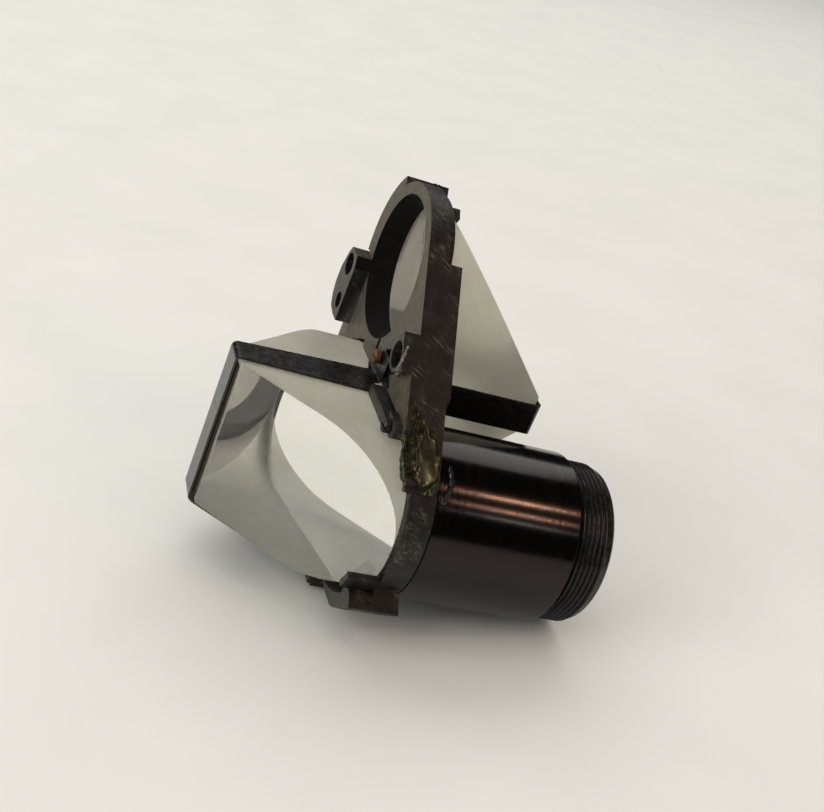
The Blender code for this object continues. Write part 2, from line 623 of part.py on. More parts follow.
def make_tube():
    start = LOWER_BACK + GAP
    root = THREAD_RADIUS - THREAD_DEPTH
    profile = [(TUBE_BORE, TUBE_END), (root - TUBE_CHAMFER, TUBE_END), (root, TUBE_END - TUBE_CHAMFER)]
    profile += [(root, TUBE_SHOULDER), (TUBE_RADIUS, TUBE_SHOULDER), (TUBE_RADIUS, start), (SPIGOT_RADIUS, start)]
    profile += [(SPIGOT_RADIUS, LOWER_BACK - SPIGOT_LENGTH), (TUBE_BORE, LOWER_BACK - SPIGOT_LENGTH)]
    profile += [(TUBE_BORE, TUBE_END)]
    tube = turned("eyepiece_tube", profile, 64)
    join(tube, make_thread(root))
    coloured(tube, (0.012, 0.012, 0.012), 0.32, 0.5)


def make_thread(root):
    """One helical ridge with a flat crest, sunk slightly into the tube's end."""
    sunk = root - 0.15 * MM
    low = TUBE_SHOULDER + THREAD_RELIEF
    turns = int((TUBE_END - low - 0.3 * MM) / THREAD_PITCH) - 1
    section = [(sunk, 0.02), (THREAD_RADIUS, 0.42), (THREAD_RADIUS, 0.54), (sunk, 0.94)]
    mesh = bpy.data.meshes.new("thread")
    points = [(r, 0, low + share * THREAD_PITCH) for r, share in section]
    mesh.from_pydata(points, [(0, 1), (1, 2), (2, 3), (3, 0)], [])
    obj = link(bpy.data.objects.new("thread", mesh), CUTTERS)
    screw = obj.modifiers.new("Helix", "SCREW")
    screw.steps = 40
    screw.render_steps = 40
    screw.iterations = turns
    screw.screw_offset = THREAD_PITCH
    settle(obj)
    body = bmesh.new()
    body.from_mesh(obj.data)
    open_edges = [edge for edge in body.edges if edge.is_boundary]
    bmesh.ops.holes_fill(body, edges=open_edges)
    bmesh.ops.recalc_face_normals(body, faces=body.faces)
    body.to_mesh(obj.data)
    body.free()
    return obj


def make_stop(name, hole, outer, low):
    high = low + STOP_THICKNESS
    profile = [(hole, high), (outer, high), (outer, low), (hole, low), (hole, high)]
    return coloured(turned(name, profile), (0.01, 0.01, 0.01), 0.8)


def make_screw(name, point, direction, colour, metallic=0.8):
    """A slotted cheese head on a shank, made along Z with its seat at the origin."""
    top = HEAD_HEIGHT
    profile = [(0, top), (HEAD_RADIUS - 0.2 * MM, top), (HEAD_RADIUS, top - 0.2 * MM), (HEAD_RADIUS, 0)]
    profile += [(SHANK_RADIUS, 0), (SHANK_RADIUS, 0.3 * MM - SHANK_LENGTH), (0, -SHANK_LENGTH)]
    screw = turned(name, profile, 24)
    half = SLOT_WIDTH / 2
    slot = cutter(name + "_slot", rectangle(-FAR, -half, FAR, half), top - SLOT_DEPTH, FAR)
    placed(screw, point, direction)
    placed(slot, point, direction)
    cut(screw, slot)
    return coloured(screw, colour, 0.45, metallic)


def make_set_screw(name, centre, height, angle, outer, proud):
    """A headless slotted screw with a cone point, just clear of the glass."""
    tip = HALF_WIDTH + GAP
    length = outer + proud - tip
    profile = [(0, length), (SET_SCREW_RADIUS - 0.15 * MM, length), (SET_SCREW_RADIUS, length - 0.15 * MM)]
    profile += [(SET_SCREW_RADIUS, 0.6 * MM), (0.4 * MM, 0), (0, 0)]
    screw = turned(name, profile, 24)
    half = SLOT_WIDTH / 2
    slot = cutter(name + "_slot", rectangle(-FAR, -half, FAR, half), length - SLOT_DEPTH, FAR)
    point = Vector((*centre, height)) + radial(angle) * tip
    placed(screw, point, radial(angle))
    placed(slot, point, radial(angle))
    cut(screw, slot)
    return coloured(screw, (0.10, 0.09, 0.07), 0.4, 0.9)


def points_of(objects):
    graph = bpy.context.evaluated_depsgraph_get()
    points = []
    for obj in objects:
        solid = obj.evaluated_get(graph)
        points += [solid.matrix_world @ vertex.co for vertex in solid.data.vertices]
    return points


def lay_down():
    """Stands the assembly on the two pillars' back edges and the tube's end, centred on the origin.

    +X then runs along the tube over the floor, +Y away from the lower aperture's side, and +Z up.
    """
    edge_y = -ARM_OUTER - PILLAR_REACH
    tube = points_of([bpy.data.objects["eyepiece_tube"]])
    tilt = math.atan(min((p.y - edge_y) / (p.z - RING_BACK) for p in tube if p.z > TUBE_SHOULDER))
    along = (0, math.sin(tilt), math.cos(tilt))
    up = (0, math.cos(tilt), -math.sin(tilt))
    ASSEMBLY.matrix_world = Matrix((along, (1, 0, 0), up)).to_4x4()
    bpy.context.view_layer.update()
    points = points_of([obj for obj in PARTS.objects if obj.type == "MESH"])
    low = Vector([min(p[i] for p in points) for i in range(3)])
    high = Vector([max(p[i] for p in points) for i in range(3)])
    shift = Matrix.Translation((-(low.x + high.x) / 2, -(low.y + high.y) / 2, -low.z))
    ASSEMBLY.matrix_world = shift @ ASSEMBLY.matrix_world
    bpy.context.view_layer.update()


def main():
    make_frame()
    front = slot_outline(LOWER, CORNER, HALF_WIDTH)
    make_prism("front_prism", FRONT_SEAT, FRONT_PRISM_HEIGHT, FRONT_APEX, "XZ", front)
    rear = slot_outline(CORNER, UPPER, HALF_WIDTH)
    make_prism("rear_prism", REAR_SEAT, REAR_PRISM_HEIGHT, REAR_APEX, "YZ", rear)
    make_front_strap()
    make_rear_strap()
    make_pads()
    make_tube()
    make_stop("glare_stop", GLARE_STOP_HOLE, TUBE_BORE - GAP, GLARE_STOP_AT)
    rust = (0.16, 0.06, 0.025)
    steel = (0.30, 0.29, 0.27)
    for name, point, direction in seats():
        make_screw(name, point, direction, rust if name.endswith("upper") else steel)
    make_set_screw("rear_set_screw", UPPER, EAR_SCREW_Z, EAR_SCREW_ANGLE, EAR_RADIUS, EAR_SCREW_PROUD)
    make_set_screw("front_set_screw", LOWER, LUG_SCREW_Z, LUG_SCREW_ANGLE, HALF_WIDTH + LUG_DEPTH, LUG_SCREW_PROUD)
    lay_down()


main()
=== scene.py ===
"""Porro prism erecting assembly on a pale table: its materials, lacquer, light and camera."""

import json
import math

import bmesh
import bpy
import numpy as np
from mathutils import Matrix, Vector, noise

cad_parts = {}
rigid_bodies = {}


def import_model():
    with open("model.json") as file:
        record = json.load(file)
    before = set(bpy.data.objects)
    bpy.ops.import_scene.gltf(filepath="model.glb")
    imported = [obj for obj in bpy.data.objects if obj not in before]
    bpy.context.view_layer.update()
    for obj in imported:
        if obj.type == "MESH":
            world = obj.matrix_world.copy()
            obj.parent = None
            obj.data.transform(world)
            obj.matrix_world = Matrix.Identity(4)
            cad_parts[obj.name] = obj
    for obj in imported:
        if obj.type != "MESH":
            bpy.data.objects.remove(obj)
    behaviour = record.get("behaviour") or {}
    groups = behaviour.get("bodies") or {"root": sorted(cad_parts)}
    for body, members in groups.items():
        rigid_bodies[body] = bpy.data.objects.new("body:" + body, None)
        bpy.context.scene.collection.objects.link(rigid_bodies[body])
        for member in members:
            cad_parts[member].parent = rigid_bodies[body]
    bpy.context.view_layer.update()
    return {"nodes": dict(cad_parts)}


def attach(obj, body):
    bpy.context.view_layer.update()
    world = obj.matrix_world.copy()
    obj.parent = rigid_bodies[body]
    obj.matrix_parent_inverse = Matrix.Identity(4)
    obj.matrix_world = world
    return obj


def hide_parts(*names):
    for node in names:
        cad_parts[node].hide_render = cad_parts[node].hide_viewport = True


MM = 0.001

# Sizes of the CAD part that the looks depend on, in millimetres of the optical frame
AXIS_STEP = 34.1
UPPER_BORE_REACH = 15.2
LOWER_BORE_REACH = 15.6
LOWER_RING_REACH = 19
THREAD_START = 35.9
TUBE_BORE_REACH = 14.3

# From the optical frame (origin on the tube's axis at the plate's front, Z along the tube) to the row frame
TO_ROW = Matrix(
    (
        (0.0, 0.1565662, 0.9876674, -0.0075478),
        (1.0, 0.0, 0.0, -0.0192500),
        (0.0, 0.9876674, -0.1565662, 0.0223171),
        (0.0, 0.0, 0.0, 1.0),
    )
)
FROM_ROW = TO_ROW.inverted()


def at(x, y, z):
    """The row-frame point, in metres, of a point in optical-frame millimetres."""
    return TO_ROW @ Vector((x * MM, y * MM, z * MM))


for obj in list(bpy.data.objects):
    bpy.data.objects.remove(obj, do_unlink=True)
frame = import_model()
NODES = frame["nodes"]

# Node helpers


def new_material(name, colour, roughness, metallic=0.0, **settings):
    """A Principled material. A setting is a socket's name with _ for each space, and its fixed value."""
    material = bpy.data.materials.new(name)
    material.use_nodes = True
    shader = material.node_tree.nodes["Principled BSDF"]
    shader.inputs["Base Color"].default_value = (*colour, 1)
    shader.inputs["Roughness"].default_value = roughness
    shader.inputs["Metallic"].default_value = metallic
    for key, value in settings.items():
        socket = shader.inputs[key.replace("_", " ")]
        socket.default_value = (*value, 1) if isinstance(value, tuple) else value
    return material


def optical(material, stretch=(1, 1, 1), slant=None):
    """Object coordinates turned into optical-frame millimetres, each axis scaled by stretch.

    With a slant in degrees, X first runs along the diagonal wall, leaning by the slant towards Z.
    """
    tree = material.node_tree
    source = tree.nodes.new("ShaderNodeTexCoord")
    turn = tree.nodes.new("ShaderNodeMapping")
    turn.inputs["Scale"].default_value = (1000, 1000, 1000)
    turn.inputs["Rotation"].default_value = FROM_ROW.to_3x3().to_euler()
    turn.inputs["Location"].default_value = FROM_ROW.translation * 1000
    tree.links.new(source.outputs["Object"], turn.inputs["Vector"])
    last = turn
    for angles in ((0, 0, -45), (0, slant, 0)) if slant is not None else ():
        lean = tree.nodes.new("ShaderNodeMapping")
        lean.inputs["Rotation"].default_value = [math.radians(a) for a in angles]
        tree.links.new(last.outputs["Vector"], lean.inputs["Vector"])
        last = lean
    scale = tree.nodes.new("ShaderNodeMapping")
    scale.inputs["Scale"].default_value = stretch
    tree.links.new(last.outputs["Vector"], scale.inputs["Vector"])
    return scale.outputs["Vector"]


def noise_of(material, scale, detail=4.0, rough=0.55, stretch=(1, 1, 1), distort=0.0, slant=None):
    node = material.node_tree.nodes.new("ShaderNodeTexNoise")
    node.inputs["Scale"].default_value = scale
    node.inputs["Detail"].default_value = detail
    node.inputs["Roughness"].default_value = rough
    node.inputs["Distortion"].default_value = distort
    material.node_tree.links.new(optical(material, stretch, slant), node.inputs["Vector"])
    return node.outputs["Fac"]


def ramp(material, factor, stops):
    """The factor turned into colours; each stop is (place, colour)."""
    node = material.node_tree.nodes.new("ShaderNodeValToRGB")
    ends = node.color_ramp.elements
    ends[0].position, ends[0].color = stops[0][0], (*stops[0][1], 1)
    ends[1].position, ends[1].color = stops[-1][0], (*stops[-1][1], 1)
    for place, colour in stops[1:-1]:
        ends.new(place).color = (*colour, 1)
    material.node_tree.links.new(factor, node.inputs["Fac"])
    return node.outputs["Color"]


def blended(material, factor, first, second):
    """first where factor is 0 and second where it is 1; each is a colour or a socket."""
    node = material.node_tree.nodes.new("ShaderNodeMix")
    node.data_type = "RGBA"
    material.node_tree.links.new(factor, node.inputs["Factor"])
    for socket, value in ((node.inputs["A"], first), (node.inputs["B"], second)):
        if isinstance(value, tuple):
            socket.default_value = (*value, 1)
        else:
            material.node_tree.links.new(value, socket)
    return node.outputs["Result"]


def grey(material, factor, low, high, start=0.3, end=0.7):
    """The factor spread from low to high, as a grey."""
    return ramp(material, factor, [(start, (low,) * 3), (end, (high,) * 3)])


def shader_input(material, name):
    return material.node_tree.nodes["Principled BSDF"].inputs[name]


def feed(material, name, socket):
    material.node_tree.links.new(socket, shader_input(material, name))


def bump(material, height, distance, strength=1.0, under=None):
    """A bump of the given depth in mm, on top of the one under it."""
    node = material.node_tree.nodes.new("ShaderNodeBump")
    node.inputs["Distance"].default_value = distance * MM
    node.inputs["Strength"].default_value = strength
    material.node_tree.links.new(height, node.inputs["Height"])
    if under:
        material.node_tree.links.new(under, node.inputs["Normal"])
    feed(material, "Normal", node.outputs["Normal"])
    return node.outputs["Normal"]


# Materials of the cast frame


def cast_material(name, dark, light, worn, roughness, streak):
    """Blackened casting: mottled colour, fine scratches along one way, and a fine grain."""
    material = new_material(name, dark, roughness, 0.25)
    mottle = noise_of(material, 0.45, 6)
    body = ramp(material, mottle, [(0.35, dark), (0.7, light)])
    scratches = noise_of(material, 1.6, 5, 0.7, streak)
    marks = ramp(material, scratches, [(0.60, (0, 0, 0)), (0.72, (1, 1, 1))])
    feed(material, "Base Color", blended(material, marks, body, worn))
    gloss = grey(material, noise_of(material, 2.5), roughness - 0.1, roughness + 0.12)
    feed(material, "Roughness", gloss)
    fine = bump(material, noise_of(material, 6.0, 6, 0.7), 0.02, 0.5)
    bump(material, scratches, 0.03, 0.4, fine)
    return material


CAST_FRONT = cast_material(
    "cast_front_face",
    dark=(0.068, 0.059, 0.042),
    light=(0.112, 0.098, 0.070),
    worn=(0.17, 0.145, 0.105),
    roughness=0.55,
    streak=(1.5, 0.25, 1),
)
# The side walls are the same casting as the front face, given a near-black copy of it: painted shade
CAST_SIDE_SHADED = cast_material(
    "cast_side_wall_painted_shade",
    dark=(0.007, 0.0065, 0.0055),
    light=(0.020, 0.018, 0.014),
    worn=(0.035, 0.03, 0.023),
    roughness=0.5,
    streak=(0.25, 0.9, 0.9),
)

# Pale brushed strokes across the diagonal wall, in patches
strokes = noise_of(CAST_SIDE_SHADED, 2.4, 3, 0.6, (0.16, 1.2, 1.2), slant=-55)
patches = noise_of(CAST_SIDE_SHADED, 0.22, 3, 0.5)
strokes = ramp(CAST_SIDE_SHADED, strokes, [(0.52, (0, 0, 0)), (0.66, (1, 1, 1))])
patches = ramp(CAST_SIDE_SHADED, patches, [(0.46, (0, 0, 0)), (0.60, (1, 1, 1))])
worn_wall = blended(CAST_SIDE_SHADED, patches, (0.0, 0.0, 0.0), strokes)
# The wall's near-black colour between the strokes is painted shade
shaded_wall_colour = shader_input(CAST_SIDE_SHADED, "Base Color").links[0].from_socket
feed(CAST_SIDE_SHADED, "Base Color", blended(CAST_SIDE_SHADED, worn_wall, shaded_wall_colour, (0.115, 0.092, 0.062)))

CAST_RAISED = cast_material(
    "cast_raised_face",
    dark=(0.035, 0.033, 0.027),
    light=(0.065, 0.06, 0.047),
    worn=(0.12, 0.11, 0.085),
    roughness=0.5,
    streak=(1.5, 0.4, 1),
)
CAST_BLACK = cast_material(
    "cast_blackened",
    dark=(0.003, 0.003, 0.003),
    light=(0.007, 0.007, 0.0065),
    worn=(0.02, 0.019, 0.016),
    roughness=0.5,
    streak=(1, 1, 0.3),
)
shader_input(CAST_BLACK, "Specular IOR Level").default_value = 0.25
# Every rounded edge of the casting takes a lighter copy of it: a painted highlight along the edges
CAST_EDGE_HIGHLIGHT = cast_material(
    "cast_edge_painted_highlight",
    dark=(0.05, 0.046, 0.036),
    light=(0.16, 0.145, 0.115),
    worn=(0.34, 0.32, 0.27),
    roughness=0.38,
    streak=(1, 1, 1),
)
LEDGE = cast_material(
    "cast_gloss_black",
    dark=(0.004, 0.004, 0.004),
    light=(0.010, 0.010, 0.009),
    worn=(0.03, 0.03, 0.028),
    roughness=0.22,
    streak=(1, 1, 1),
)
shader_input(LEDGE, "Specular IOR Level").default_value = 0.15


# Glass


def glass_material(name, roughness, tint, clear=1.0):
    return new_material(name, tint, roughness, 0.0, IOR=1.52, Transmission_Weight=clear)


POLISHED = glass_material("glass_polished", 0.0, (0.985, 0.985, 0.955))
smears = noise_of(POLISHED, 0.12, 5, 0.6, distort=0.4)
feed(POLISHED, "Roughness", ramp(POLISHED, smears, [(0.5, (0.0,) * 3), (0.9, (0.03,) * 3)]))
stain = noise_of(POLISHED, 0.35, 6, 0.6)
stained = ramp(POLISHED, stain, [(0.4, (0.985, 0.985, 0.96)), (0.9, (0.93, 0.90, 0.80))])
feed(POLISHED, "Base Color", stained)

GROUND = glass_material("glass_ground", 0.6, (0.80, 0.79, 0.71), clear=0.72)
cloud = noise_of(GROUND, 0.10, 5, 0.6)
clouded = ramp(GROUND, cloud, [(0.3, (0.70, 0.68, 0.55)), (0.75, (0.86, 0.845, 0.72))])
feed(GROUND, "Base Color", clouded)
feed(GROUND, "Roughness", grey(GROUND, noise_of(GROUND, 1.2), 0.5, 0.75))

CHAMFER = glass_material("glass_chamfer", 0.35, (0.92, 0.92, 0.86))
feed(CHAMFER, "Roughness", grey(CHAMFER, noise_of(CHAMFER, 1.5, 5), 0.2, 0.55))
bump(CHAMFER, noise_of(CHAMFER, 4.0, 4, 0.6), 0.03, 0.5)

# Straps, tube, trim

STRAP = new_material("strap_black", (0.012, 0.011, 0.010), 0.3, Specular_IOR_Level=0.6)
strap_mottle = noise_of(STRAP, 0.5, 6, 0.6)
strap_colour = ramp(
    STRAP, strap_mottle, [(0.4, (0.004, 0.0038, 0.0035)), (0.8, (0.012, 0.0105, 0.0085))]
)
feed(STRAP, "Base Color", strap_colour)
feed(STRAP, "Roughness", grey(STRAP, noise_of(STRAP, 0.9, 4, 0.5), 0.20, 0.34))
bump(STRAP, noise_of(STRAP, 1.2, 3, 0.5), 0.012, 0.3)

ANODISED = new_material(
    "tube_anodised",
    (0.003, 0.0025, 0.0025),
    0.2,
    Specular_Tint=(1.0, 0.86, 0.80),
    Specular_IOR_Level=0.36,
)
turning = noise_of(ANODISED, 2.6, 3, 0.6, (0.03, 0.03, 1))
coarse = noise_of(ANODISED, 0.9, 3, 0.6, (0.03, 0.03, 1))
tube_colour = ramp(
    ANODISED, coarse, [(0.35, (0.0015, 0.0013, 0.0013)), (0.75, (0.004, 0.0032, 0.0028))]
)
feed(ANODISED, "Base Color", tube_colour)
feed(ANODISED, "Roughness", grey(ANODISED, turning, 0.10, 0.20))
lathe = bump(ANODISED, turning, 0.012, 0.9)
bump(ANODISED, coarse, 0.02, 0.5, lathe)

THREAD = new_material("tube_thread", (0.010, 0.010, 0.010), 0.3)
wear = noise_of(THREAD, 0.7, 5, 0.6)
worn_thread = ramp(THREAD, wear, [(0.45, (0.007, 0.007, 0.007)), (0.85, (0.035, 0.033, 0.03))])
feed(THREAD, "Base Color", worn_thread)
feed(THREAD, "Roughness", grey(THREAD, noise_of(THREAD, 2.0), 0.22, 0.42))

FLAT_BLACK = new_material("stop_flat_black", (0.006, 0.006, 0.006), 0.8)
feed(FLAT_BLACK, "Base Color", grey(FLAT_BLACK, noise_of(FLAT_BLACK, 1.0), 0.004, 0.010))
bump(FLAT_BLACK, noise_of(FLAT_BLACK, 5.0), 0.02, 0.5)

CORK = new_material("strap_pad", (0.03, 0.022, 0.015), 0.85)
grain = noise_of(CORK, 1.2, 6, 0.7)
feed(CORK, "Base Color", ramp(CORK, grain, [(0.35, (0.012, 0.009, 0.006)), (0.7, (0.05, 0.036, 0.022))]))
bump(CORK, grain, 0.06, 0.7)


def screw_material(name, base, stained, roughness, metallic):
    """A screw's metal, stained in spots."""
    material = new_material(name, base, roughness, metallic)
    spots = noise_of(material, 1.3, 6, 0.65)
    feed(material, "Base Color", ramp(material, spots, [(0.4, base), (0.75, stained)]))
    feed(material, "Roughness", grey(material, spots, roughness - 0.12, roughness + 0.15))
    bump(material, noise_of(material, 6.0, 4), 0.01, 0.5)
    return material


STEEL = screw_material(
    "screw_steel_dull", (0.30, 0.29, 0.27), (0.16, 0.13, 0.10), roughness=0.35, metallic=1.0
)
RUSTY = screw_material(
    "screw_rusted", (0.20, 0.085, 0.025), (0.09, 0.03, 0.010), roughness=0.6, metallic=0.3
)
BLACKENED = screw_material(
    "screw_blackened", (0.04, 0.038, 0.034), (0.02, 0.017, 0.013), roughness=0.35, metallic=0.6
)

# The green in the tint turns the copper lamps' highlights to gold
LACQUER = new_material(
    "lacquer_amber", (0.03, 0.02, 0.01), 0.25, IOR=1.5, Specular_Tint=(0.74, 1.0, 0.70)
)
depth = noise_of(LACQUER, 0.4, 4, 0.5)
amber = [(0.40, (0.006, 0.0055, 0.004)), (0.60, (0.022, 0.017, 0.008)), (0.78, (0.10, 0.068, 0.024))]
feed(LACQUER, "Base Color", ramp(LACQUER, depth, amber))
feed(LACQUER, "Roughness", grey(LACQUER, noise_of(LACQUER, 1.0), 0.16, 0.30))
bump(LACQUER, noise_of(LACQUER, 1.0, 2, 0.5), 0.03, 0.5)

CLEAR_GLUE = new_material("lacquer_clear", (0.20, 0.19, 0.16), 0.15, Coat_Weight=1.0)
haze = noise_of(CLEAR_GLUE, 1.5, 5, 0.6)
clear_colour = ramp(CLEAR_GLUE, haze, [(0.4, (0.03, 0.03, 0.026)), (0.7, (0.24, 0.23, 0.20))])
feed(CLEAR_GLUE, "Base Color", clear_colour)
bump(CLEAR_GLUE, haze, 0.08, 0.6)

# Pieces made from the CAD shapes, with their edges rounded


def welded(node):
    """A CAD node's mesh with its corners joined and its flat faces merged."""
    body = bmesh.new()
    body.from_mesh(NODES[node].data)
    bmesh.ops.remove_doubles(body, verts=body.verts, dist=2e-6)
    bmesh.ops.dissolve_limit(body, angle_limit=math.radians(0.6), verts=body.verts, edges=body.edges)
    return body


def optical_normal(face):
    return FROM_ROW.to_3x3() @ face.normal


def optical_centre(face):
    return (FROM_ROW @ face.calc_center_median()) / MM


def round_edges(body, width, least, segments=2):
    """Rounds the outward edges sharper than least degrees by width mm, and gives back the new faces."""
    edges = [
        e
        for e in body.edges
        if len(e.link_faces) == 2 and e.is_convex and e.calc_face_angle(0) > math.radians(least)
    ]
    made = bmesh.ops.bevel(
        body,
        geom=edges,
        offset=width * MM,
        segments=segments,
        profile=0.5,
        affect="EDGES",
        clamp_overlap=True,
    )
    return made["faces"]


def finished(body, name, node, materials, smooth=32):
    """The piece that stands for a CAD node, smooth-shaded up to smooth degrees."""
    for face in body.faces:
        face.smooth = True
    mesh = bpy.data.meshes.new(name)
    bmesh.ops.triangulate(body, faces=[f for f in body.faces if len(f.verts) > 4])
    body.to_mesh(mesh)
    body.free()
    mesh.set_sharp_from_angle(angle=math.radians(smooth))
    for material in materials:
        mesh.materials.append(material)
    obj = bpy.data.objects.new(name, mesh)
    bpy.context.scene.collection.objects.link(obj)
    weights = obj.modifiers.new("Normals", "WEIGHTED_NORMAL")
    weights.keep_sharp = True
    weights.weight = 80
    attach(obj, "frame")
    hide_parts(node)


CASTING = [CAST_FRONT, CAST_SIDE_SHADED, CAST_RAISED, CAST_BLACK, CAST_EDGE_HIGHLIGHT, LEDGE]
FRONT_FACE, SHADED_SIDE_WALL, RAISED_FACE, BLACKENED_FACE, HIGHLIGHTED_EDGE, GLOSSY_FACE = range(6)


def region_of(face):
    """Which casting material a face takes, from the way it faces and where it is."""
    way, point = optical_normal(face), optical_centre(face)
    across = math.hypot(point.x, point.y)
    upper = math.hypot(point.x - AXIS_STEP, point.y - AXIS_STEP)
    if way.z < -0.9:
        if point.z > 0.9 and across < LOWER_RING_REACH:
            return GLOSSY_FACE
        if point.z > 0.4:
            return BLACKENED_FACE
        return RAISED_FACE if point.z < -1.5 else FRONT_FACE
    if way.z > 0.9:
        return BLACKENED_FACE
    if abs(way.z) < 0.5 and (upper < UPPER_BORE_REACH or across < LOWER_BORE_REACH):
        return BLACKENED_FACE
    # Every other face is a side wall, and takes the near-black copy of the casting: painted shade
    return SHADED_SIDE_WALL


def make_casting():
    body = welded("prism_plate")
    for face in body.faces:
        face.material_index = region_of(face)
    # The rounded edges take the lighter copy of the casting: painted highlight
    for face in round_edges(body, 0.11, 40):
        face.material_index = HIGHLIGHTED_EDGE
    finished(body, "frame_casting", "prism_plate", CASTING)


GLASS = [POLISHED, GROUND, CHAMFER]
POLISHED_FACE, GROUND_FACE, CHAMFERED_EDGE = range(3)
APEX_FLAT_AREA = 4e-4  # in square metres, above the flattened apex's and below the base's


def make_glass(node, name, side_axis):
    """A prism with ground sides and ends, polished legs and base, and chamfered edges."""
    body = welded(node)
    for face in body.faces:
        way = optical_normal(face)
        level = abs(way.z)
        face.material_index = GROUND_FACE
        if level > 0.2 and abs(way[side_axis]) < 0.3:
            face.material_index = POLISHED_FACE
        if level > 0.99 and face.calc_area() < APEX_FLAT_AREA:
            face.material_index = GROUND_FACE
    for face in round_edges(body, 0.45, 25, 1):
        face.material_index = CHAMFERED_EDGE
    finished(body, name, node, GLASS, smooth=20)


TUBE = [ANODISED, THREAD, FLAT_BLACK]
BARREL, THREADED_END, INSIDE = range(3)


def make_tube():
    body = welded("eyepiece_tube")
    for face in body.faces:
        point = optical_centre(face)
        face.material_index = THREADED_END if point.z > THREAD_START else BARREL
        if math.hypot(point.x, point.y) < TUBE_BORE_REACH:
            face.material_index = INSIDE
    round_edges(body, 0.08, 40)
    finished(body, "tube_body", "eyepiece_tube", TUBE, smooth=25)


def make_strap(node, name):
    body = welded(node)
    round_edges(body, 0.07, 40)
    finished(body, name, node, [STRAP])


X_AXIS, Y_AXIS = 0, 1
make_casting()
make_glass("front_prism", "front_glass", Y_AXIS)
make_glass("rear_prism", "rear_glass", X_AXIS)
make_tube()
make_strap("front_strap", "front_strap_sheet")
make_strap("rear_strap", "rear_strap_sheet")

# CAD nodes that stay, with their finishes; every other screw is plain steel

FINISHES = {
    "front_strap_pad": CORK,
    "rear_strap_pad": CORK,
    "glare_stop": FLAT_BLACK,
    "front_strap_screw_upper": RUSTY,
    "rib_screw": BLACKENED,
    "rear_set_screw": BLACKENED,
    "front_set_screw": BLACKENED,
}
REPLACED = {
    "prism_plate",
    "front_prism",
    "rear_prism",
    "eyepiece_tube",
    "front_strap",
    "rear_strap",
}
for name, node in NODES.items():
    if name in REPLACED:
        continue
    node.data.materials.clear()
    node.data.materials.append(FINISHES.get(name, STEEL))

# Lacquer that locks the tube and the screws

SKIN_DEPTH = 0.12  # how far a film's edge sinks into its wall
SHEET_THICKNESS = 0.25
FADE = 1.3  # how far in from its outline a film reaches its full height


def added(name, mesh):
    obj = bpy.data.objects.new(name, mesh)
    bpy.context.scene.collection.objects.link(obj)
    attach(obj, "frame")


def drops(name, path, material, fineness=0.16, crinkle=0.25, seed=0.0):
    """A run of set lacquer: overlapping drops (x, y, z, radius) fused into one crinkled skin, in mm."""
    body = bmesh.new()
    for x, y, z, radius in path:
        made = bmesh.ops.create_icosphere(body, subdivisions=3, radius=radius * MM)
        bmesh.ops.translate(body, verts=made["verts"], vec=at(x, y, z))
    mesh = bpy.data.meshes.new(name)
    body.to_mesh(mesh)
    body.free()
    raw = bpy.data.objects.new(name + "_raw", mesh)
    bpy.context.scene.collection.objects.link(raw)
    skin = raw.modifiers.new("Skin", "REMESH")
    skin.mode = "VOXEL"
    skin.voxel_size = fineness * MM
    soften = raw.modifiers.new("Soften", "SMOOTH")
    soften.factor = 0.5
    soften.iterations = 6
    graph = bpy.context.evaluated_depsgraph_get()
    made = bpy.data.meshes.new_from_object(raw.evaluated_get(graph))
    bpy.data.objects.remove(raw, do_unlink=True)
    for vertex in made.vertices:
        p = vertex.co / MM
        rise = noise.fractal(p * 0.55 + Vector((seed, 0, 0)), 0.9, 2.1, 3)
        vertex.co += vertex.normal * rise * crinkle * MM
    made.name = name
    made.shade_smooth()
    made.materials.append(material)
    added(name, made)


def run_between(points, count):
    """Points (x, y, z, r) spaced evenly along a polyline of such points."""
    points = [np.array(p, float) for p in points]
    lengths = [np.linalg.norm((b - a)[:3]) for a, b in zip(points, points[1:])]
    total, made = sum(lengths), []
    for i in range(count):
        left = total * i / (count - 1)
        for a, b, length in zip(points, points[1:], lengths):
            if left <= length + 1e-9:
                made.append(tuple(a + (b - a) * left / length))
                break
            left -= length
    return made


